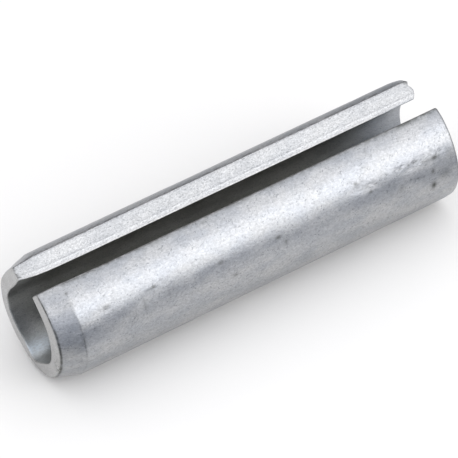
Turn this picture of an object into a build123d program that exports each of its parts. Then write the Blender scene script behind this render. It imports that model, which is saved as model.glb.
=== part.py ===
from build123d import *
import math
import os

# Slotted spring pin, heavy-duty pattern for an 8 mm hole, in its free state.
#
# The pin is one strip of spring steel, rolled into a C that stays open along its whole length.
# The leading end has a long shallow chamfer that starts it into its hole. The other end, the one
# that is struck, is cut square, and tumbling has rounded its rims.
#
# Millimetres. +X runs along the pin, from the chamfered end to the plain end, and +Z points up
# through the slot. The origin lies under the middle of the pin, on the surface that it rests on.

# ---- driving dimensions ----

# rolled tube
outside_diameter = 8.5
wall_thickness = 1.5
pin_length = 30.45

# slot, measured between the sharp corners of its two lips
slot_width_outside = 3.4
slot_width_inside = 1.45
lip_back_angle = 42.0       # round the bore, from the slot's middle to the straight back of a lip
lip_outer_rounding = 0.12   # along the outer corner of each lip
lip_inner_rounding = 0.06   # along the inner corner of each lip

# chamfered, leading end
chamfer_length = 1.65
chamfered_end_diameter = 7.7
mouth_rounding = 0.10       # on the bore's rim

# plain, driven end
plain_outer_rounding = 0.12
plain_bore_rounding = 0.15

# ---- derived places ----

outside_radius = outside_diameter / 2
bore_radius = outside_radius - wall_thickness
chamfered_end_radius = chamfered_end_diameter / 2
chamfered_end_x = -pin_length / 2
plain_end_x = pin_length / 2

# sharp corners of a lip, to the side of the pin's axis and above it
lip_outer_side = slot_width_outside / 2
lip_outer_height = math.sqrt(outside_radius**2 - lip_outer_side**2)
back_angle = math.radians(lip_back_angle)
lip_inner_side = slot_width_inside / 2
lip_inner_height = (bore_radius - lip_inner_side * math.sin(back_angle)) / math.cos(back_angle)

# where the round bore ends and a lip's straight back starts
lip_back_side = bore_radius * math.sin(back_angle)
lip_back_height = bore_radius * math.cos(back_angle)

# ---- planes ----

pin_axis = Axis((0, 0, outside_radius), (1, 0, 0))

# through the axis: x along the pin, y outwards from the axis
lengthwise_plane = Plane(origin=(0, 0, outside_radius), x_dir=(1, 0, 0), z_dir=(0, -1, 0))

# across the pin at its chamfered end: x to the side, y up, facing the plain end
section_plane = Plane(
    origin=(chamfered_end_x, 0, outside_radius), x_dir=(0, 1, 0), z_dir=(1, 0, 0)
)

# ---- the pin ----

with BuildPart() as spring_pin:
    # the wall as if it were turned: chamfer, square end and the rounding of every rim
    with BuildSketch(lengthwise_plane) as wall_profile:
        with BuildLine():
            Polyline(
                (chamfered_end_x, bore_radius),
                (chamfered_end_x, chamfered_end_radius),
                (chamfered_end_x + chamfer_length, outside_radius),
                (plain_end_x, outside_radius),
                (plain_end_x, bore_radius),
                close=True,
            )
        make_face()
        mouth_corner = wall_profile.vertices().group_by(Axis.X)[0].sort_by(Axis.Y)[0]
        fillet(mouth_corner, mouth_rounding)
        plain_outer_corner = wall_profile.vertices().group_by(Axis.X)[-1].sort_by(Axis.Y)[-1]
        fillet(plain_outer_corner, plain_outer_rounding)
        plain_bore_corner = wall_profile.vertices().group_by(Axis.X)[-1].sort_by(Axis.Y)[0]
        fillet(plain_bore_corner, plain_bore_rounding)
    revolve(axis=pin_axis)

    # the rolled strip's section: an open ring with straight-backed lips and two tilted lip faces
    with BuildSketch(section_plane) as strip_section:
        with BuildLine():
            ThreePointArc(
                (-lip_outer_side, lip_outer_height),
                (0, -outside_radius),
                (lip_outer_side, lip_outer_height),
            )
            Polyline(
                (lip_outer_side, lip_outer_height),
                (lip_inner_side, lip_inner_height),
                (lip_back_side, lip_back_height),
            )
            ThreePointArc(
                (lip_back_side, lip_back_height),
                (0, -bore_radius),
                (-lip_back_side, lip_back_height),
            )
            Polyline(
                (-lip_back_side, lip_back_height),
                (-lip_inner_side, lip_inner_height),
                (-lip_outer_side, lip_outer_height),
            )
        make_face()
        inner_corners = strip_section.vertices().group_by(Axis.Y)[-2]
        fillet(inner_corners, lip_inner_rounding)
        outer_corners = strip_section.vertices().group_by(Axis.Y)[-1]
        fillet(outer_corners, lip_outer_rounding)
    extrude(amount=pin_length, mode=Mode.INTERSECT)

spring_pin.part.label = "spring_pin"

os.makedirs("parts", exist_ok=True)
export_step(spring_pin.part, "parts/spring_pin.step")
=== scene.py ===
import math

import bpy
import numpy as np
from mathutils import Matrix, Vector


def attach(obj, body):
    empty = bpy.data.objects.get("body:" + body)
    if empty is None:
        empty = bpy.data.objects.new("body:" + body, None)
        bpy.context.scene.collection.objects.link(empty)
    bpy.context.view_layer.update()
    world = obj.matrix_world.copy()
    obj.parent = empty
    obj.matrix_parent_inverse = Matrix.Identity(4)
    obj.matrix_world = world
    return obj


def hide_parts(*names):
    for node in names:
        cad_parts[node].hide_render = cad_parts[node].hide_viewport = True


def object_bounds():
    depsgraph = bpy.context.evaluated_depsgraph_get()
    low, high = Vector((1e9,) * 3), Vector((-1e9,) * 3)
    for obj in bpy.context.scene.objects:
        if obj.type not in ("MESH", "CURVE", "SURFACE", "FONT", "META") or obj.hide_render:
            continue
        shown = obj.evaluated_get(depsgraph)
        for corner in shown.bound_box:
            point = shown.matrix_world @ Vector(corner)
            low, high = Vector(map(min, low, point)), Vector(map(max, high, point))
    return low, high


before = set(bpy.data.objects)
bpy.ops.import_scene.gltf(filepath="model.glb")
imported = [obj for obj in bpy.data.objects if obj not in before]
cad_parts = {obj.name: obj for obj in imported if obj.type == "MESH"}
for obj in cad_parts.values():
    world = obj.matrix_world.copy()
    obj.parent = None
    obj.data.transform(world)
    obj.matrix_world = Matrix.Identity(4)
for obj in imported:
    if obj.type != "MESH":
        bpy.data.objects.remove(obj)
cad_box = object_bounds()

# Slotted spring pin of zinc-coated spring steel. Lengths are in millimetres until a mesh is made, in the
# CAD frame: +X from the chamfered end to the plain end, +Z up through the slot. The camera is on the -Y
# side, so the near lip is at -Y.
#
# The pin is one rolled strip, and a point of the strip has three places: q goes from -1 at the near lip
# to 1 at the far lip, w from 0 at the bore to 1 outside, and x is the distance in mm from the chamfered
# end. s is the distance in mm round the strip from its middle, which is the pin's bottom, and is positive
# on the far side. Degrees in the tables of form count about the axis from the slot's middle, by the far
# side, the bottom and the near side.
MM = 0.001
tiny = 1e-9

# ---- pin: its size from the frame, its section as in the CAD source ----
box_low, box_high = [Vector(corner) / MM for corner in cad_box]
pin_length = round(box_high.x - box_low.x, 2)
outside_radius = round((box_high.y - box_low.y) / 2, 2)
cad_top = math.floor(box_high.z * 100) / 100
chamfered_end_x = (box_low.x + box_high.x) / 2 - pin_length / 2
bore_radius = 2.75
wall = outside_radius - bore_radius
slot_half_width_outside = 1.70
slot_half_width_inside = 0.725
lip_back_angle = math.radians(42.0)
chamfer_length = 1.65
chamfered_end_radius = 3.85
lip_outer_rounding = 0.16
lip_inner_rounding = 0.04
far_lip_outer_rounding = 0.05
mouth_rounding = 0.10
front_rim_rounding = 0.06
plain_outer_rounding = 0.12
plain_bore_rounding = 0.15

# Height over the axis of the lips' inner corners: each lip's back is a flat that starts tangent to the
# bore. The angles go from the bottom to the lips' corners and to where their backs start.
lip_back_drop = slot_half_width_inside * math.sin(lip_back_angle)
lip_inner_height = (bore_radius - lip_back_drop) / math.cos(lip_back_angle)
lip_inner_angle = math.pi - math.atan2(slot_half_width_inside, lip_inner_height)
lip_outer_angle = math.pi - math.asin(slot_half_width_outside / outside_radius)
back_start_angle = math.pi - lip_back_angle
# Half the strip's length, along the middle of its wall.
strip_half_turn = 2.77
half_strip = 0.5 * (outside_radius + bore_radius) * strip_half_turn
# An end's rounding gives way to the lips' own over a reach in mm from that end. Close to a lip, between
# two distances in mm, only a share of it is left.
end_rounding_reach = 1.5
lip_rounding_reach = (1.0, 0.2)
end_rounding_left = 0.5

# ---- camera, in metres ----
view_azimuth = math.radians(29.165)
view_elevation = math.radians(43.603)
view_roll = math.radians(-4.444)
view_distance = 0.23757
view_target = Vector((-0.000176, 0.000086, 0.004252))
lens_mm = 285.45
sensor_mm = 36
nearest_seen = 0.01

# ---- how this pin departs from the true form ----
# The slot turns slightly about the pin's axis, its near lip more than its far lip.
slot_turn_front = math.radians(-0.2)
far_lip_turn_rear = math.radians(0.9)
near_lip_turn_rear = math.radians(1.8)
# At the chamfered end the far lip's back stands away from the slot, from a q on, and over mm along the pin.
front_lip_back_turn = math.radians(4.0)
front_lip_back_from = 0.75
front_lip_back_fade = 1.0
# The lips' faces slant otherwise than in the CAD, and more so from a |q| on to the edge. The far lip's is
# a little wider: degrees its outer corner stands back, by mm along the pin, and its inner corner forward.
lip_slant_from = 0.8
far_lip_corner_back = [(5, 0), (10, 0.9), (18, 0.7), (30, 1.2)]
far_lip_corner_forward = 0.5
# The near lip's face is steeper: degrees its outer corner stands forward and its inner corner back.
near_lip_corner_forward = [(0, 4.0), (1.0, 3.2), (2.0, 2.0), (5, 1.6), (15, 2.1), (30, 2.6)]
near_lip_corner_back = [(0, 0), (1.5, 0.6), (4, 1.8)]

# The mouth of the bore is uneven: mm outwards by degrees, at the rim and behind it, mm along the pin over
# which the rim's form gives way to the form behind it, and mm over which the bore comes back to round.
front_bore_push = [
    (13, 0.17), (17, 0.16), (30, 0.01), (46, -0.12), (60, -0.08), (75, 0.10), (90, 0.34), (100, 0.40),
    (108, 0.42), (122, 0.37), (136, 0.23), (151, 0.14), (159, 0.24), (165, 0.40), (171, 0.60),
    (175, 0.71), (179, 0.68), (184, 0.56), (190, 0.38), (198, 0.22), (204, 0.11), (223, -0.01),
    (239, -0.10), (247, -0.18), (258, -0.25), (270, -0.28), (289, -0.27), (313, -0.18), (347, 0),
]
behind_rim_push = [
    (13, 0.17), (17, 0.16), (30, 0.01), (46, -0.12), (60, -0.08), (75, 0.10), (90, 0.34),
    (105, 0.41), (125, 0.38), (150, 0.33), (165, 0.28), (180, 0.22), (200, 0.12), (223, 0),
    (240, -0.05), (270, -0.12), (310, -0.10), (347, 0),
]
rim_depth = 1.0
front_bore_falloff = 1.4
front_bore_fade = [(13, 1.2), (46, 1.2), (75, 3.0), (225, 3.0), (270, 1.2), (347, 1.2)]
# The outside of the chamfered end is uneven too: mm outwards by degrees, and mm along the pin over which
# it comes back to round. Its chamfer is a little hollow on the near side, by a share of its rise.
front_outside_push = [
    (20, 0.24), (24.4, 0.225), (35, -0.02), (45, -0.13), (55, -0.15), (65, -0.10), (71, -0.03),
    (82, 0.05), (105, 0.10), (125, 0.07), (140, 0.05), (165, 0.02), (190, 0.01), (207, -0.05),
    (222, -0.12), (240, -0.20), (260, -0.19), (290, -0.11), (315, -0.03), (330, 0.05), (347, 0.12),
]
front_outside_fade = 1.9
front_outside_falloff = 1.3
chamfer_hollow = [(20, 0), (180, 0.05), (230, 0.25), (347, 0.28)]
# The sheared plain end isn't quite square: mm along the pin by degrees, and on the far lip, between two q,
# by w. Its outer rim is drawn in: mm outwards by degrees, and mm along the pin.
plain_end_push = [
    (13, 0), (40, 0), (90, -0.03), (180, -0.05), (250, -0.08), (305, -0.09), (325, -0.05), (347, -0.05),
]
far_lip_end_push = [
    (0, -0.28), (0.12, -0.17), (0.25, -0.05), (0.45, 0.03), (0.62, -0.04), (0.76, -0.20), (0.85, -0.17),
    (0.93, -0.08), (1, -0.10),
]
far_lip_end_reach = (0.90, 0.98)
plain_end_depth = 1.2
plain_rim_push = [
    (20, -0.02), (30, -0.10), (60, -0.10), (90, 0), (180, 0), (215, -0.05), (250, -0.05), (290, 0),
    (347, 0),
]
plain_rim_fade = 1.1

# ---- mesh: grid lines of the strip, from (place, spacing) to (place, spacing) ----
# They lie closest at the edges, at the chamfer's back edge and on the side that shows.
q_stops = [
    (-1, 0.004), (-0.985, 0.0075), (-0.32, 0.0078), (-0.20, 0.020), (0.70, 0.022), (0.82, 0.008),
    (0.98, 0.0075), (1, 0.004),
]
w_stops = [(0, 0.03), (0.12, 0.05), (0.20, 0.025), (0.32, 0.03), (0.45, 0.10), (0.8, 0.10), (1, 0.03)]
x_stops = [
    (0, 0.03), (0.2, 0.10), (chamfer_length - 0.2, 0.12), (chamfer_length, 0.05),
    (chamfer_length + 0.2, 0.125), (pin_length - 0.3, 0.137), (pin_length, 0.03),
]

# ---- sides: the w, |q| or x from and to which a side's own look comes in ----
outside_reach = (0.9, 1)
bore_reach = (0.1, 0)
lip_reach = (0.985, 1)
chamfer_reach = (chamfer_length, chamfer_length - 0.05)
front_face_reach = (0.04, 0)

# ---- noise: how many waves it sums, and from what to what their paces and phases go ----
noise_waves = 36
noise_paces = (0.6, 1.4)
noise_phases = (0, 7)

# ---- waves and marks, in mm ----
undulation = 0.0075
undulation_size = (3.2, 1.6, 1.6)
ripple = 0.0026
ripple_size = (0.9, 0.55, 0.55)
chamfer_ripple = 0.0020
chamfer_ripple_size = (0.5, 0.4, 0.4)
wave_share_inside = 0.35
# A fine raised line runs along the lips' faces: its height, and its middle and width as shares of the wall.
lip_line_height = 0.010
lip_line_place = 0.26
lip_line_width = 0.045
# (mm from the chamfered end, degrees from the slot's middle with the near side negative, half length,
# half width, depth, dirt)
pits = [
    (28.33, -88.6, 0.19, 0.25, 0.035, 1.0), (28.72, -61.4, 0.28, 0.12, 0.030, 0.85),
    (28.05, -61.6, 0.30, 0.05, 0.020, 0.50), (28.39, -73.5, 0.13, 0.14, 0.030, 0.80),
    (22.74, -52.7, 0.14, 0.10, 0.022, 0.70), (22.95, -53.6, 0.20, 0.06, 0.010, 0.25),
    (23.62, -65.1, 0.15, 0.10, 0.024, 0.72), (23.53, -96.8, 0.10, 0.12, 0.012, 0.35),
    (16.39, -66.6, 0.22, 0.10, 0.026, 0.78), (16.86, -74.0, 0.12, 0.17, 0.018, 0.55),
    (12.05, -64.8, 0.24, 0.11, 0.020, 0.60), (12.90, -82.7, 0.20, 0.12, 0.014, 0.50),
    (7.16, -58.4, 0.18, 0.07, 0.026, 0.95), (6.75, -58.5, 0.34, 0.05, 0.016, 0.55),
    (3.71, -56.5, 0.30, 0.12, 0.018, 0.48), (6.28, -69.9, 0.07, 0.55, 0.010, 0.28),
    (8.08, -70.0, 0.08, 0.40, 0.010, 0.25), (12.13, -27.7, 0.40, 0.10, 0.012, 0.40),
    (24.33, -31.8, 0.10, 0.14, 0.010, 0.30), (23.76, -43.5, 0.25, 0.25, 0.010, 0.20),
    (1.68, -33.4, 0.08, 0.09, 0.030, 0.75), (29.26, -81.0, 0.45, 0.32, 0.006, 0.34),
    (25.86, -76.7, 0.24, 0.20, 0.008, 0.25), (29.90, -62.0, 0.25, 0.35, 0.010, 0.25),
]
# ((mm, degrees) of one end and of the other, height, width, painted shade along its lower side)
ridges = [
    ((22.5, -58.3), (26.2, -56.5), 0.020, 0.05, 0.40), ((25.4, -57.2), (29.7, -56.6), 0.023, 0.05, 0.50),
    ((24.8, -62.0), (28.6, -59.4), 0.014, 0.05, 0.30), ((24.0, -65.8), (28.3, -74.0), 0.024, 0.05, 0.30),
    ((13.5, -50.2), (14.0, -54.5), -0.010, 0.04, 0), ((10.1, -52.4), (10.9, -58.2), -0.009, 0.04, 0),
    ((14.7, -86.0), (15.6, -94.2), 0.014, 0.04, 0), ((17.8, -96.4), (20.2, -96.0), 0.028, 0.06, 0),
    ((0.88, -29.5), (1.50, -33.0), -0.022, 0.05, 0),
]
# A ridge wanders, is uneven about a level, and fades at its ends. Painted shade lies beside it.
ridge_wander = 0.04
ridge_wander_size = 1.1
ridge_level = 0.7
ridge_swing = 0.6
ridge_swing_size = 0.35
ridge_end_share = 0.12
ridge_shade_offset = 0.07
ridge_shade_width = 0.05
ridge_shade_most = 1.4

# ---- painted shade lines, painted shade in the bore, painted light in the mouth, and dirt: places and widths in mm, darkness as a share ----
# The painted dark lines and shade are ragged: each has a level, a swing about it, and a least and most
# share.
ragged_size = (0.5, 0.35, 0.35)
front_rim_ragged = (0.9, 0.3, 0.6, 1)
chamfer_edge_shade_ragged = (0.85, 0.25, 0.55, 1)
rear_rim_ragged = (0.9, 0.3, 0.5, 1.1)
near_edge_shade_ragged = (0.85, 0.3, 0.4, 1.15)
far_edge_shade_ragged = (0.45, 0.6, 0, 1)
lip_front_ragged = (0.35, 0.6, 0, 1)
chamfer_shade_ragged = (1, 0.3, 0.4, 1.5)
# Painted shade round the outside, all by q: a dark line at the front rim, at the chamfer's back edge and at
# the plain rim.
front_rim_place = [(-0.84, 0.03), (-0.76, 0.08)]
front_rim_width = [(-0.82, 0.055), (-0.75, 0.07), (-0.60, 0.075), (-0.42, 0.10)]
front_rim_end = 0.1
chamfer_edge_shade = [
    (-0.93, 0), (-0.88, 0.18), (-0.78, 0.25), (-0.73, 0.40), (-0.66, 0.60), (-0.60, 0.60), (-0.55, 0.35),
    (-0.50, 0.25), (-0.44, 0.30), (-0.40, 0.10),
]
chamfer_edge_shade_width = 0.07
rear_rim_shade = [(-1, 1), (-0.95, 0.75), (-0.90, 0.50), (-0.75, 0.55), (-0.55, 0.35), (-0.30, 0.10)]
rear_rim_width = 0.14
# Painted shade along the lips: dark lines at their outer edges, the near one's darkness by x and its reach
# by w, and on the far lip at the foot of its face, from an x on, and at the outer corner at the plain end,
# as x and w.
near_edge_shade = [
    (0, 0.30), (0.6, 0.25), (0.9, 0), (1.4, 0), (1.9, 0.46), (24, 0.46), (26.5, 0.65), (28, 0.85),
    (30.45, 0.90),
]
near_edge_shade_width = 0.21
near_edge_shade_reach = (0.6, 1)
far_edge_shade_place = 0.13
far_edge_shade_width = 0.055
far_edge_shade = 0.75
far_lip_foot_reach = (27.9, 28.4)
far_lip_foot_width = 0.05
far_lip_foot_shade = 0.75
far_lip_corner_place = (30.25, 0.95)
far_lip_corner_size = (0.20, 0.10)
far_lip_corner_shade = 0.6
# A dark line of painted shade and dark grit on the lips' front ends, and grit in grains at the bottom of
# the front face, where place and width are in q and the reach is in w.
lip_front_edge = 0.06
lip_front_shade_and_grit = 0.6
lip_grit_depth = 0.5
face_grit_place = -0.43
face_grit_width = 0.07
face_grit_reach = (0.25, 0.75)
face_grit_depth = 0.05
# Painted shade: darkening in the bore, a share by x times a share by s, darkening at the foot of the mouth,
# and darkening of the lower part of the chamfer by q.
bore_shade_by_x = [
    (0, 1.5), (0.6, 1.2), (1.2, 0.8), (2, 0.7), (4, 0.3), (6, 0), (21, 0), (23.5, 0.7), (25.4, 1.6),
    (28, 2.2), (29.3, 1.0), (30.45, 0.2),
]
bore_shade_by_s = [
    (-5, 0), (-0.9, 0.05), (-0.2, 0.10), (0.9, 0), (1.75, 0.30), (2.5, 0.50), (3.2, 0.44), (4.0, 0.30),
    (4.75, 0.17), (9, 0.12),
]
mouth_foot_shade = 0.62
mouth_foot_shade_place = 0.15
mouth_foot_shade_width = 0.5
mouth_foot_shade_depth = 0.6
chamfer_painted_shade = [(-0.72, 0), (-0.66, 0.06), (-0.62, 0.13), (-0.55, 0.15), (-0.45, 0.06), (-0.30, 0)]
# Painted light: a pale bluish patch at the bottom of the mouth, its middle and widths by s, the lower width
# by x, and how far it reaches by x.
mouth_light_place = 0.8
mouth_light_depth = 2.0
mouth_light_width_above = 0.75
mouth_light_width_below = [(0.2, 0.30), (1.2, 0.95)]

# ---- colours and patterns of the steel and its zinc ----
zinc_blue = (0.434, 0.446, 0.470, 1)
zinc_grey = (0.455, 0.456, 0.460, 1)
sheared_steel = (0.508, 0.507, 0.505, 1)
bore_warm = (0.495, 0.492, 0.473, 1)
# Painted light: the bore's bluer tint towards the plain end, from the light through the rear opening, and
# the x over which it comes in.
bore_painted_rear_light = (0.472, 0.488, 0.515, 1)
bore_rear_light_reach = (26.0, 29.5)
speck_grey = (0.24, 0.25, 0.26, 1)
dot_grey = (0.19, 0.20, 0.21, 1)
mouth_light_colour = (0.62, 0.69, 0.75, 1)
# The dark of dirt and of painted shade, outside and in the bore.
dirt_and_shade_outside = (0.07, 0.072, 0.062, 1)
dirt_and_shade_in_bore = (0.060, 0.074, 0.090, 1)
# Each pattern is a noise from 0 to 1, of one roughness: the range of it that counts, how light it makes
# the zinc, or how much of the painted light in the mouth it leaves, at the range's ends, and how strongly
# it darkens the zinc.
noise_roughness = 0.62
cloud_range = (0.3, 0.7)
cloud_level = (0.90, 1.08)
grain_range = (0.25, 0.75)
grain_level = (0.87, 1.11)
fine_range = (0.30, 0.70)
fine_level = (0.89, 1.08)
chip_range = (0.28, 0.56)
chip_level = (0.76, 1.06)
stroke_range = (0.60, 0.72)
speck_range = (0.65, 0.75)
speck_share = 0.35
dot_range = (0.63, 0.72)
dot_share = 0.62
mouth_light_grain_range = (0.35, 0.6)
mouth_light_grain_share = (0.55, 1.0)
lip_sheared_share = 0.55
# The bump's whole depth in mm, and the parts that join the grain in it.
bump_depth = 0.011
stroke_depth = 0.38
speck_depth = 0.28
fine_height = 0.40
zinc_roughness = (0.36, 0.44)
bore_roughness_factor = 1.02
mouth_light_metallic = 0.25

# ---- stage, in metres ----
floor_reach = 3.0
floor_pale = (0.86, 0.845, 0.82, 1)
# Painted shade: the floor turns dark away from the pin, and greyer far in front.
floor_painted_dark = (0.18, 0.20, 0.23, 1)
floor_far_painted_dark = (0.50, 0.51, 0.54, 1)
floor_far_dark_reach = (0.024, 0.045)
# (way in which the floor's painted falloff of light goes, where it starts, where it ends, how far it falls)
floor_painted_falloffs = [
    ((-0.578, -0.816, 0), 0.0166, 0.0195, 1.0), ((0.821, -0.571, 0), 0.0150, 0.0270, 0.66),
    ((0.588, 0.809, 0), 0.0285, 0.040, 1.0),
]
lamp_target = Vector((0, 0, 0.004))
# The sky's brightness: from the horizon upwards, dimmed low down round one way, and raised round another.
sky_rise = (0.0, 0.8)
sky_brightness = (0.45, 1.25)
sky_dim_azimuth = math.radians(25)
sky_dim_reach = (0.82, 0.97)
sky_dim_top = (0.08, 0.30)
sky_dim_share = 0.12
sky_fill_way = (-0.8, -0.6, 0)
sky_fill_reach = (0.2, 0.9)
sky_fill_most = 0.6
sky_fill_overhead = 0.2
sky_low_heights = (0.15, 0.6)
sky_behind = (0.0, 0.5)
sky_blue_heights = (0.0, 0.6)
sky_low_blue = (0.90, 0.96, 1.08, 1)
sky_high = (0.975, 0.99, 1.03, 1)
sky_warm = (1.03, 1.0, 0.965, 1)


def from_table(table, at):
    """The value at each place, between the places of a table of (place, value)."""
    places, values = zip(*table)
    return np.interp(at, places, values)


def bell(place, middle, width):
    """1 at the middle, and falling off softly over the width."""
    return np.exp(-((place - middle) / width) ** 2)


def ramp(value, start, end):
    """0 up to the start and 1 from the end on, and straight between."""
    return np.clip((value - start) / (end - start), 0, 1)


def lines(stops):
    """Grid lines through the stops (place, spacing): the spacing changes evenly from stop to stop."""
    out = [stops[0][0]]
    for (a, spacing_a), (b, spacing_b) in zip(stops[:-1], stops[1:]):
        count = max(1, int(round((b - a) / (0.5 * (spacing_a + spacing_b)))))
        share = np.arange(1, count + 1) / count
        ratio = spacing_b / spacing_a
        if abs(ratio - 1) > tiny:
            share = (ratio ** share - 1) / (ratio - 1)
        out.extend(a + (b - a) * share)
    return np.array(out)


def noise(points, size, seed):
    """Smooth seeded noise of about unit strength: a sum of random waves about size mm long."""
    rng = np.random.default_rng(seed)
    ways = rng.normal(size=(noise_waves, 3))
    paces = rng.uniform(*noise_paces, noise_waves)
    phases = rng.uniform(*noise_phases, noise_waves)
    total = np.zeros(len(points))
    for way, pace, phase in zip(ways, paces, phases):
        wave = way / np.linalg.norm(way) * pace * 2 * math.pi / np.array(size)
        total += np.cos(points @ wave + phase)
    return total * math.sqrt(2 / noise_waves)


# ---- form of the rolled strip ----
def bore_at(x, angle, degrees):
    """Radius of the bore: straight along the lips' backs, and out of round in the mouth."""
    past_back_start = np.clip(np.abs(angle) - back_start_angle, 0, None)
    radius = bore_radius / np.cos(past_back_start)
    end_share = np.exp(-(x / from_table(front_bore_fade, degrees)) ** front_bore_falloff)
    rim_share = np.exp(-x / rim_depth)
    behind = from_table(behind_rim_push, degrees)
    at_rim = from_table(front_bore_push, degrees)
    return radius + end_share * (behind + rim_share * (at_rim - behind))


def outside_at(x, degrees):
    """Radius of the outside, with the chamfer and the uneven rims of both ends."""
    along = ramp(x, 0, chamfer_length)
    rise = along - from_table(chamfer_hollow, degrees) * along * (1 - along)
    radius = chamfered_end_radius + (outside_radius - chamfered_end_radius) * rise
    front_share = ramp(x, front_outside_fade, 0) ** front_outside_falloff
    radius = radius + front_share * from_table(front_outside_push, degrees)
    rear_share = ramp(x, pin_length - plain_rim_fade, pin_length) ** 2
    return radius + rear_share * from_table(plain_rim_push, degrees)


def turned(q, x, inner, outer):
    """The angles at the bore and outside, with the slot's turn and the slants of the lips' faces."""
    front_share = np.exp(-x / front_lip_back_fade)
    inner = inner - front_share * front_lip_back_turn * ramp(q, front_lip_back_from, 1)
    turn_rear = near_lip_turn_rear + (far_lip_turn_rear - near_lip_turn_rear) * (q + 1) / 2
    turn = slot_turn_front + (turn_rear - slot_turn_front) * x / pin_length
    at_far_lip = ramp(q, lip_slant_from, 1)
    at_near_lip = ramp(q, -lip_slant_from, -1)
    inner = inner + turn + at_far_lip * math.radians(far_lip_corner_forward)
    inner = inner + at_near_lip * np.radians(from_table(near_lip_corner_back, x))
    outer = outer + turn - at_far_lip * np.radians(from_table(far_lip_corner_back, x))
    outer = outer - at_near_lip * np.radians(from_table(near_lip_corner_forward, x))
    return inner, outer


def plain_end_shift(q, w, x, degrees):
    """How far the sheared plain end stands out, in mm along the pin."""
    end_share = ramp(x, pin_length - plain_end_depth, pin_length) ** 2
    lip_share = ramp(q, *far_lip_end_reach)
    return end_share * (from_table(plain_end_push, degrees) + lip_share * from_table(far_lip_end_push, w))


def strip_point(q, w, x):
    """Points of the rolled strip, as x, y, z from the chamfered end's centre."""
    inner = q * lip_inner_angle
    outer = q * lip_outer_angle
    outer_degrees = 180 - np.degrees(outer)
    bore = bore_at(x, inner, 180 - np.degrees(inner))
    outside = outside_at(x, outer_degrees)
    inner, outer = turned(q, x, inner, outer)
    y = (1 - w) * bore * np.sin(inner) + w * outside * np.sin(outer)
    z = -(1 - w) * bore * np.cos(inner) - w * outside * np.cos(outer)
    z = np.minimum(z, cad_top - outside_radius)
    return np.stack([x + plain_end_shift(q, w, x, outer_degrees), y, z], 1)


def rounding_at(q, w, x):
    """Radius to which the strip's edges are rounded nearby."""
    front = ramp(x, end_rounding_reach, 0)
    rear = ramp(x, pin_length - end_rounding_reach, pin_length)
    outer = ramp(w, 1 / 3, 2 / 3)
    outer_corner = np.where(q > 0, far_lip_outer_rounding, lip_outer_rounding)
    along_lip = lip_inner_rounding + (outer_corner - lip_inner_rounding) * outer
    at_front = mouth_rounding + (front_rim_rounding - mouth_rounding) * outer
    at_rear = plain_bore_rounding + (plain_outer_rounding - plain_bore_rounding) * outer
    at_end = np.where(front > rear, at_front, at_rear)
    beside_lip = ramp((1 - np.abs(q)) * half_strip, *lip_rounding_reach)
    end_share = np.clip(front + rear, 0, 1) * (1 - beside_lip * (1 - end_rounding_left))
    return along_lip * (1 - end_share) + at_end * end_share


def rounded(q, w, x):
    """Moves points of the sharp-edged strip onto its rounded edges: what lies within the rounding's radius
    of two sides or more goes to that radius from a centre inside."""
    radius = rounding_at(q, w, x)
    place = np.stack([q * half_strip, w * wall, x], 1)
    low = np.stack([radius - half_strip, radius, radius], 1)
    high = np.stack([half_strip - radius, wall - radius, pin_length - radius], 1)
    centre = np.clip(place, low, high)
    away = place - centre
    distance = np.sqrt((away ** 2).sum(1))
    at_edge = (np.abs(away) > tiny).sum(1) >= 2
    scale = np.where(at_edge, radius / np.maximum(distance, tiny), 1)
    place = centre + away * scale[:, None]
    return place[:, 0] / half_strip, place[:, 1] / wall, place[:, 2]


def inside_cad(points):
    """The points, with what stands out of the CAD's box or past its outside moved back."""
    x = np.clip(points[:, 0], chamfered_end_x, chamfered_end_x + pin_length)
    y = points[:, 1]
    z = np.clip(points[:, 2], 0.0, cad_top) - outside_radius
    radial = np.hypot(y, z)
    share = np.where(radial > outside_radius, outside_radius / radial, 1)
    return np.stack([x, y * share, z * share + outside_radius], 1)


# ---- surface of the strip ----
class Surface:
    """Where each point of the mesh lies on the strip, and how far it belongs to each side."""

    def __init__(self, q, w, x):
        self.q = q
        self.w = w
        self.x = x
        self.s = q * half_strip
        self.place = np.stack([x, self.s, w * wall], 1)
        self.outside = ramp(w, *outside_reach)
        self.in_bore = ramp(w, *bore_reach)
        self.lip = ramp(np.abs(q), *lip_reach)
        self.far_lip = self.lip * (q > 0)
        self.on_chamfer = ramp(x, *chamfer_reach) * self.outside
        self.front_face = ramp(x, *front_face_reach)
        self.ragged = noise(self.place, ragged_size, seed=21)

    def broken(self, level, swing, least, most):
        """How dark a ragged line is from place to place."""
        return np.clip(level + swing * self.ragged, least, most)


def around(x, degrees):
    """Strip place x, s of a spot on the outside. Degrees count from the slot's middle, and are negative on
    the near side."""
    from_bottom = 180 - abs(degrees)
    side = 1 if degrees > 0 else -1
    return x, side * from_bottom / math.degrees(lip_outer_angle) * half_strip


def pit_marks(at):
    """Height in mm of the pits, and how much dirt lies in them."""
    height = np.zeros(len(at.x))
    dirt_and_painted_shade = np.zeros(len(at.x))
    for x, degrees, half_length, half_width, depth, dark in pits:
        pit_x, pit_s = around(x, degrees)
        near = bell(at.x, pit_x, half_length) * bell(at.s, pit_s, half_width)
        height -= near * depth
        dirt_and_painted_shade = np.maximum(dirt_and_painted_shade, near * dark)
    return height * at.outside, dirt_and_painted_shade * at.outside


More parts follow.
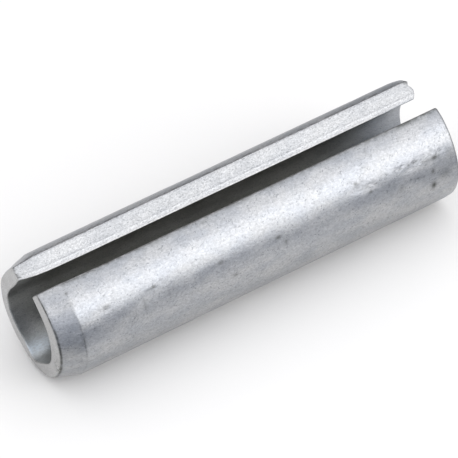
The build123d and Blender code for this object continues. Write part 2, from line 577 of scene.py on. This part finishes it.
def ridge_marks(at):
    """Height in mm of the ridges, or of creases where it is negative, and the painted shade beside them."""
    height = np.zeros(len(at.x))
    dirt_and_painted_shade = np.zeros(len(at.x))
    none = np.zeros(len(at.x))
    for number, (start, end, tall, width, dark) in enumerate(ridges):
        start_x, start_s = around(*start)
        end_x, end_s = around(*end)
        share = (at.x - start_x) / (end_x - start_x)
        lengthways = np.stack([at.x, none, none], 1)
        wander = ridge_wander * noise(lengthways, ridge_wander_size, seed=50 + number)
        flat = np.stack([at.x, at.s, none], 1)
        rough = ridge_level + ridge_swing * noise(flat, ridge_swing_size, seed=80 + number)
        ends = ramp(share, 0, ridge_end_share) * ramp(share, 1, 1 - ridge_end_share)
        below = at.s - (start_s + (end_s - start_s) * share) - wander
        height += ends * tall * rough * np.exp(-np.abs(below) / width)
        beside = bell(below, ridge_shade_offset, ridge_shade_width)
        dirt_and_painted_shade = np.maximum(dirt_and_painted_shade, ends * dark * np.clip(rough, 0, ridge_shade_most) * beside)
    return height * at.outside, dirt_and_painted_shade * at.outside


def waves(at):
    """Height in mm of the rolled surface's waves, the chamfer's hammered look and the line on the lips."""
    rolled = undulation * noise(at.place, undulation_size, seed=11)
    rolled = rolled + ripple * noise(at.place, ripple_size, seed=12)
    hammered = chamfer_ripple * noise(at.place, chamfer_ripple_size, seed=13) * at.on_chamfer
    lip_line = lip_line_height * at.lip * bell(at.w, lip_line_place, lip_line_width)
    return lip_line + rolled * (wave_share_inside + (1 - wave_share_inside) * at.outside) + hammered


def rim_painted_shade(at):
    """Painted shade: dark lines round the outside, on the front rim, at the chamfer's back edge and on the
    plain rim.
    """
    front = bell(at.x, from_table(front_rim_place, at.q), from_table(front_rim_width, at.q))
    front = front * at.outside * at.broken(*front_rim_ragged) * (at.q < front_rim_end)
    edge_shade = bell(at.x, chamfer_length, chamfer_edge_shade_width) * from_table(chamfer_edge_shade, at.q)
    edge_shade = edge_shade * at.outside * at.broken(*chamfer_edge_shade_ragged)
    rear = bell(at.x, pin_length, rear_rim_width) * from_table(rear_rim_shade, at.q)
    rear = rear * at.outside * at.broken(*rear_rim_ragged)
    return np.maximum.reduce([front, edge_shade, rear])


def lip_painted_shade(at):
    """Painted shade: dark lines along the lips, at their outer edges and front edges, and at the far lip's
    foot and corner at the plain end."""
    from_far_lip = (1 - at.q) * half_strip
    from_near_lip = (1 + at.q) * half_strip
    far_edge = bell(from_far_lip, far_edge_shade_place, far_edge_shade_width) * at.outside * far_edge_shade
    far_edge = far_edge * at.broken(*far_edge_shade_ragged)
    near_edge = bell(from_near_lip, 0, near_edge_shade_width) * from_table(near_edge_shade, at.x)
    near_edge = near_edge * ramp(at.w, *near_edge_shade_reach) * at.broken(*near_edge_shade_ragged)
    front_edge = bell(at.x, lip_front_edge, lip_front_edge) * at.lip * at.broken(*lip_front_ragged)
    foot = bell(at.w, 0, far_lip_foot_width) * at.far_lip * ramp(at.x, *far_lip_foot_reach)
    (corner_x, corner_w), (size_x, size_w) = far_lip_corner_place, far_lip_corner_size
    corner = bell(at.x, corner_x, size_x) * bell(at.w, corner_w, size_w) * at.far_lip
    return np.maximum.reduce([far_edge, near_edge, front_edge * lip_front_shade_and_grit, foot * far_lip_foot_shade,
                              corner * far_lip_corner_shade])


def grains(at, size, contrast, gap, seed):
    """Separate grains of about size mm. A greater gap leaves fewer of them."""
    return np.clip(contrast * noise(at.place, size, seed) - gap, 0, 1)


def grit_dirt(at):
    """Dark grains at the bottom of the front face and on the lips' front ends."""
    fine = grains(at, size=0.20, contrast=1.6, gap=0.5, seed=32)
    on_face = fine * bell(at.q, face_grit_place, face_grit_width)
    on_face = on_face * (at.x < face_grit_depth) * ramp(at.w, *face_grit_reach)
    coarse = grains(at, size=0.26, contrast=1.4, gap=0.6, seed=31)
    on_lips = coarse * bell(at.x, 0, lip_grit_depth) * at.lip * lip_front_shade_and_grit
    return np.maximum(on_face, on_lips)


def bore_and_chamfer_painted_shade(at):
    """Painted shade: darkening in the bore and on the lower part of the chamfer."""
    bore = at.in_bore * from_table(bore_shade_by_x, at.x) * from_table(bore_shade_by_s, at.s)
    foot = bell(at.x, 0, mouth_foot_shade_depth) * bell(at.s, mouth_foot_shade_place, mouth_foot_shade_width)
    foot = foot * at.in_bore * mouth_foot_shade
    chamfer = at.on_chamfer * from_table(chamfer_painted_shade, at.q) * at.broken(*chamfer_shade_ragged)
    return np.maximum.reduce([bore, foot, chamfer])


def mouth_painted_light(at):
    """Painted light: a pale patch at the bottom of the mouth."""
    past = at.s - mouth_light_place
    width = np.where(past > 0, mouth_light_width_above, from_table(mouth_light_width_below, at.x))
    return at.in_bore * bell(at.x, 0, mouth_light_depth) * bell(past, 0, width)


# ---- mesh ----
def quads(grid, flip=False):
    """Faces between the points of a two-way grid of point numbers."""
    a, b, c, d = grid[:-1, :-1], grid[1:, :-1], grid[1:, 1:], grid[:-1, 1:]
    faces = np.stack([a, b, c, d], -1).reshape(-1, 4)
    return faces[:, ::-1] if flip else faces


def strip_grid():
    """The strip's six sides as a grid: q, w, x of each point, and the faces."""
    q_lines = lines(q_stops)
    w_lines = lines(w_stops)
    x_lines = lines(x_stops)
    shape = (len(q_lines), len(w_lines), len(x_lines))
    on_side = np.zeros(shape, bool)
    on_side[[0, -1]] = True
    on_side[:, [0, -1]] = True
    on_side[:, :, [0, -1]] = True
    number = -np.ones(shape, int)
    number[on_side] = np.arange(on_side.sum())
    faces = np.concatenate([
        quads(number[:, -1, :], flip=True), quads(number[:, 0, :]),
        quads(number[0]), quads(number[-1], flip=True),
        quads(number[:, :, 0], flip=True), quads(number[:, :, -1])])
    i, j, k = np.nonzero(on_side)
    return q_lines[i], w_lines[j], x_lines[k], faces


def point_normals(mesh):
    normals = np.empty(len(mesh.vertices) * 3, np.float32)
    mesh.vertex_normals.foreach_get("vector", normals)
    return normals.reshape(-1, 3)


def pin_mesh():
    """The pin's mesh, with what its material reads from each point."""
    q, w, x, faces = strip_grid()
    q, w, x = rounded(q, w, x)
    points = strip_point(q, w, x) + [chamfered_end_x, 0, outside_radius]
    mesh = bpy.data.meshes.new("spring_pin_body")
    mesh.from_pydata((points * MM).tolist(), [], faces.tolist())
    mesh.update()

    at = Surface(q, w, x)
    pit_height, dirt_in_pits = pit_marks(at)
    ridge_height, shade_by_ridges = ridge_marks(at)
    height = pit_height + ridge_height + waves(at)
    points = inside_cad(points + point_normals(mesh) * height[:, None])
    mesh.vertices.foreach_set("co", (points * MM).ravel())

    # The marks' dark: dirt in pits and grit, and painted shade along ridges, rims and lips, in the bore and
    # on the chamfer.
    dirts_and_shades = [dirt_in_pits, shade_by_ridges, rim_painted_shade(at), lip_painted_shade(at), grit_dirt(at), bore_and_chamfer_painted_shade(at)]
    fields = {"dirt_and_painted_shade": np.maximum.reduce(dirts_and_shades), "bore": at.in_bore, "mouth_light": mouth_painted_light(at),
              "sheared": np.maximum(at.front_face, lip_sheared_share * at.lip), "lip": at.lip}
    for name, values in fields.items():
        mesh.attributes.new(name, "FLOAT", "POINT").data.foreach_set("value", values)
    mesh.attributes.new("strip_mm", "FLOAT_VECTOR", "POINT").data.foreach_set("vector", at.place.ravel())
    mesh.polygons.foreach_set("use_smooth", [True] * len(mesh.polygons))
    mesh.update()
    return mesh


# ---- material ----
class Graph:
    """Short forms for the nodes of one material or world."""

    def __init__(self, tree):
        self.tree = tree

    def node(self, kind, inputs=(), **settings):
        node = self.tree.nodes.new(kind)
        for name, value in settings.items():
            setattr(node, name, value)
        for name, value in dict(inputs).items():
            self.set(node.inputs[name], value)
        return node

    def set(self, socket, value):
        if isinstance(value, bpy.types.NodeSocket):
            self.tree.links.new(value, socket)
        else:
            socket.default_value = value

    def field(self, name, output="Fac"):
        """What the mesh stores under a name."""
        return self.node("ShaderNodeAttribute", attribute_name=name).outputs[output]

    def step(self, value, low, high, at_low=0.0, at_high=1.0):
        """A smooth step of a value, from at_low up to low, to at_high from high on."""
        return self.node("ShaderNodeMapRange", {
            "Value": value, "From Min": low, "From Max": high, "To Min": at_low, "To Max": at_high},
            interpolation_type="SMOOTHSTEP").outputs["Result"]

    def math(self, operation, a, b, c=0.0):
        return self.node("ShaderNodeMath", {0: a, 1: b, 2: c}, operation=operation).outputs[0]

    def times(self, a, b):
        """One value times another."""
        return self.math("MULTIPLY", a, b)

    def dot(self, vector, way):
        """How far a vector goes the given way."""
        node = self.node("ShaderNodeVectorMath", {0: vector, 1: way}, operation="DOT_PRODUCT")
        return node.outputs["Value"]

    def part(self, vector, axis):
        """A vector's X, Y or Z."""
        return self.node("ShaderNodeSeparateXYZ", {0: vector}).outputs[axis]

    def noise(self, place, scale, detail, turn=0.0, stretch=(1, 1, 1), offset=0.0):
        """Noise of scale lumps a mm, turned in the strip's plane and then stretched along it."""
        turned_place = self.node("ShaderNodeMapping", {
            "Vector": place, "Rotation": (0, 0, turn), "Location": (offset, offset, 0)}).outputs[0]
        stretched = self.node("ShaderNodeMapping", {"Vector": turned_place, "Scale": stretch}).outputs[0]
        return self.node("ShaderNodeTexNoise", {
            "Vector": stretched, "Scale": scale, "Detail": detail,
            "Roughness": noise_roughness}).outputs["Fac"]

    # A colour mix's inputs 0, 6 and 7 are its factor and its two colours, and its output 2 is a colour.
    def mix(self, share, a, b):
        """Colour a up to colour b."""
        node = self.node("ShaderNodeMix", data_type="RGBA")
        self.set(node.inputs[0], share)
        self.set(node.inputs[6], a)
        self.set(node.inputs[7], b)
        return node.outputs[2]

    def shade(self, colour, value):
        """A colour times a value."""
        node = self.node("ShaderNodeMix", {0: 1.0}, data_type="RGBA", blend_type="MULTIPLY")
        self.set(node.inputs[6], colour)
        grey = self.node("ShaderNodeCombineColor", {0: value, 1: value, 2: value})
        self.set(node.inputs[7], grey.outputs[0])
        return node.outputs[2]


class ZincPattern:
    """The patterns from which the zinc's colour, roughness and bump are made."""

    def __init__(self, graph):
        self.place = graph.field("strip_mm", "Vector")
        self.clouds = graph.noise(self.place, scale=0.9, detail=3, stretch=(0.5, 1.2, 1))
        self.grain = graph.noise(self.place, scale=7.2, detail=4, stretch=(0.62, 1.25, 1))
        self.fine = graph.noise(self.place, scale=15, detail=2, turn=-0.5, stretch=(0.7, 1.2, 1), offset=11)
        self.chips = graph.noise(self.place, scale=10, detail=2, stretch=(0.7, 1, 1), offset=5)
        strokes = graph.noise(self.place, scale=6, detail=1, turn=0.6, stretch=(0.22, 1.6, 1))
        specks = graph.noise(self.place, scale=4.2, detail=1, offset=7)
        dots = graph.noise(self.place, scale=9, detail=1, turn=0.5, stretch=(0.7, 1.1, 1), offset=3)
        self.strokes = graph.step(strokes, *stroke_range)
        self.specks = graph.step(specks, *speck_range)
        self.dots = graph.step(dots, *dot_range)
        # The painted light patch in the mouth, left grainy.
        grainy = graph.step(self.grain, *mouth_light_grain_range, *mouth_light_grain_share)
        self.painted_mouth_light = graph.times(graph.field("mouth_light"), grainy)


def zinc_level(graph, pattern):
    """How light the zinc is: grainy, cloudy, and chipped on the sheared lips."""
    level = graph.times(graph.step(pattern.grain, *grain_range, *grain_level),
                        graph.step(pattern.clouds, *cloud_range, *cloud_level))
    level = graph.times(level, graph.step(pattern.fine, *fine_range, *fine_level))
    chip_change = graph.math("SUBTRACT", graph.step(pattern.chips, *chip_range, *chip_level), 1.0)
    return graph.times(level, graph.math("MULTIPLY_ADD", graph.field("lip"), chip_change, 1.0))


def zinc_colour(graph, pattern):
    """Blue-grey zinc with specks and dots, plainer where it is sheared, bluer towards the plain end of the
    bore as painted light, with a painted patch of light in the mouth, and darkened by its dirt and by
    painted shade.
    """
    bore = graph.field("bore")
    along = graph.part(pattern.place, "X")
    # Towards the plain end the bore turns bluer: painted light from the rear opening.
    inside = graph.mix(graph.step(along, *bore_rear_light_reach), bore_warm, bore_painted_rear_light)
    colour = graph.mix(graph.step(pattern.clouds, *cloud_range), zinc_blue, zinc_grey)
    colour = graph.mix(graph.field("sheared"), colour, sheared_steel)
    colour = graph.mix(bore, colour, inside)
    colour = graph.shade(colour, zinc_level(graph, pattern))
    colour = graph.mix(graph.times(pattern.specks, speck_share), colour, speck_grey)
    colour = graph.mix(graph.times(pattern.dots, dot_share), colour, dot_grey)
    # Painted light: the pale patch at the bottom of the mouth.
    colour = graph.mix(pattern.painted_mouth_light, colour, mouth_light_colour)
    # Dirt and painted shade darken the colour.
    return graph.mix(graph.field("dirt_and_painted_shade"), colour, graph.mix(bore, dirt_and_shade_outside, dirt_and_shade_in_bore))


def zinc_height(graph, pattern):
    """Bump of the grain, with strokes and specks sunk into it."""
    height = graph.math("SUBTRACT", pattern.grain, graph.times(pattern.strokes, stroke_depth))
    height = graph.math("SUBTRACT", height, graph.times(pattern.specks, speck_depth))
    return graph.math("ADD", height, graph.times(pattern.fine, fine_height))


def zinc():
    """Zinc coating on rolled spring steel: pale and blue-grey, with a fine grain, cloudy patches that run
    along the pin, short rolling strokes and dark specks."""
    material = bpy.data.materials.new("zinc_coating")
    material.use_nodes = True
    graph = Graph(material.node_tree)
    pattern = ZincPattern(graph)
    in_bore = graph.step(graph.field("bore"), 0.0, 1.0, 1.0, bore_roughness_factor)
    roughness = graph.times(graph.step(pattern.clouds, *cloud_range, *zinc_roughness), in_bore)
    bump = graph.node("ShaderNodeBump", {
        "Height": zinc_height(graph, pattern), "Strength": 1.0, "Distance": bump_depth * MM})
    shader = material.node_tree.nodes["Principled BSDF"]
    graph.set(shader.inputs["Base Color"], zinc_colour(graph, pattern))
    # The painted light patch in the mouth is less metallic.
    graph.set(shader.inputs["Metallic"], graph.step(pattern.painted_mouth_light, 0.0, 1.0, 1.0, mouth_light_metallic))
    graph.set(shader.inputs["Roughness"], roughness)
    graph.set(shader.inputs["Normal"], bump.outputs["Normal"])
    return material


# ---- stage ----
def pale_floor():
    """A pale floor with a painted falloff of light away from the pin, as round a lit table."""
    reach = floor_reach
    mesh = bpy.data.meshes.new("floor")
    mesh.from_pydata([(-reach, -reach, 0), (reach, -reach, 0), (reach, reach, 0), (-reach, reach, 0)],
                     [], [(0, 1, 2, 3)])
    floor = bpy.data.objects.new("floor", mesh)
    bpy.context.scene.collection.objects.link(floor)
    mesh.materials.append(floor_paper())
    return floor


def floor_paper():
    """Paper that is pale round the pin and, as painted shade, darker beyond the picture."""
    paper = bpy.data.materials.new("floor_paper")
    paper.use_nodes = True
    graph = Graph(paper.node_tree)
    place = graph.node("ShaderNodeTexCoord").outputs["Object"]
    fade = 0.0
    for way, start, end, most in floor_painted_falloffs:
        fade = graph.math("MAXIMUM", fade, graph.step(graph.dot(place, way), start, end, 0.0, most))
    tone = graph.mix(fade, floor_pale, floor_painted_dark)
    tone = graph.mix(graph.step(graph.dot(place, (0, -1, 0)), *floor_far_dark_reach), tone, floor_far_painted_dark)
    shader = paper.node_tree.nodes["Principled BSDF"]
    graph.set(shader.inputs["Base Color"], tone)
    shader.inputs["Roughness"].default_value = 1.0
    shader.inputs["Specular IOR Level"].default_value = 0.0
    return paper


def softbox(name, azimuth, elevation, distance, width, height, radiance):
    """An area light that faces the pin. Azimuth is from -Y towards +X."""
    a = math.radians(azimuth)
    e = math.radians(elevation)
    away = Vector((math.sin(a) * math.cos(e), -math.cos(a) * math.cos(e), math.sin(e)))
    lamp = bpy.data.lights.new(name, "AREA")
    lamp.shape = "RECTANGLE"
    lamp.size = width
    lamp.size_y = height
    lamp.energy = radiance * math.pi * width * height
    box = bpy.data.objects.new(name, lamp)
    bpy.context.scene.collection.objects.link(box)
    box.location = lamp_target + away * distance
    box.rotation_euler = away.to_track_quat("Z", "Y").to_euler()


def sky_level(graph, direction, height):
    """How bright the sky is: pale overhead, dim low down under the key light, and fuller low down on the
    mouth's side."""
    dim_way = (math.sin(sky_dim_azimuth), -math.cos(sky_dim_azimuth), 0)
    away_from_dim = graph.step(graph.dot(direction, dim_way), *sky_dim_reach, 1.0, 0.0)
    keep = graph.math("MAXIMUM", away_from_dim, graph.step(height, *sky_dim_top))
    level = graph.times(graph.step(height, *sky_rise, *sky_brightness),
                        graph.step(keep, 0.0, 1.0, sky_dim_share, 1.0))
    fill = graph.times(graph.step(graph.dot(direction, sky_fill_way), *sky_fill_reach, 0.0, sky_fill_most),
                       graph.step(height, *sky_low_heights, 1.0, sky_fill_overhead))
    return graph.times(level, graph.math("ADD", fill, 1.0))


def studio_sky():
    """A plain soft studio: bluer low down on the camera's side, and warmer low down behind the pin."""
    world = bpy.data.worlds.new("studio")
    bpy.context.scene.world = world
    world.use_nodes = True
    graph = Graph(world.node_tree)
    direction = graph.node("ShaderNodeTexCoord").outputs["Generated"]
    height = graph.part(direction, "Z")
    behind = graph.step(graph.part(direction, "Y"), *sky_behind)
    warm = graph.times(behind, graph.step(height, *sky_low_heights, 1.0, 0.0))
    blue = graph.mix(graph.step(height, *sky_blue_heights), sky_low_blue, sky_high)
    sky = world.node_tree.nodes["Background"]
    graph.set(sky.inputs["Color"], graph.mix(warm, blue, sky_warm))
    graph.set(sky.inputs["Strength"], sky_level(graph, direction, height))


def view_camera():
    """The camera, aimed at the pin from the view's angles and rolled."""
    data = bpy.data.cameras.new("camera")
    data.lens = lens_mm
    data.sensor_width = sensor_mm
    data.clip_start = nearest_seen
    forward = Vector((math.sin(view_azimuth) * math.cos(view_elevation),
                      math.cos(view_azimuth) * math.cos(view_elevation), -math.sin(view_elevation)))
    level_right = forward.cross(Vector((0, 0, 1))).normalized()
    level_up = level_right.cross(forward)
    right = level_right * math.cos(view_roll) + level_up * math.sin(view_roll)
    up = level_up * math.cos(view_roll) - level_right * math.sin(view_roll)
    turn = Matrix((right, up, -forward)).transposed()
    camera = bpy.data.objects.new("camera", data)
    bpy.context.scene.collection.objects.link(camera)
    camera.matrix_world = Matrix.Translation(view_target - forward * view_distance) @ turn.to_4x4()
    return camera


# ---- scene ----
pin = bpy.data.objects.new("spring_pin_body", pin_mesh())
bpy.context.scene.collection.objects.link(pin)
pin.data.materials.append(zinc())
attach(pin, "root")
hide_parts("spring_pin")

pale_floor()
softbox("key", azimuth=27.5, elevation=29, distance=0.30, width=0.215, height=0.21, radiance=2.09)
studio_sky()
bpy.context.scene.camera = view_camera()
bpy.context.scene.view_settings.view_transform = "Standard"

bpy.context.view_layer.update()
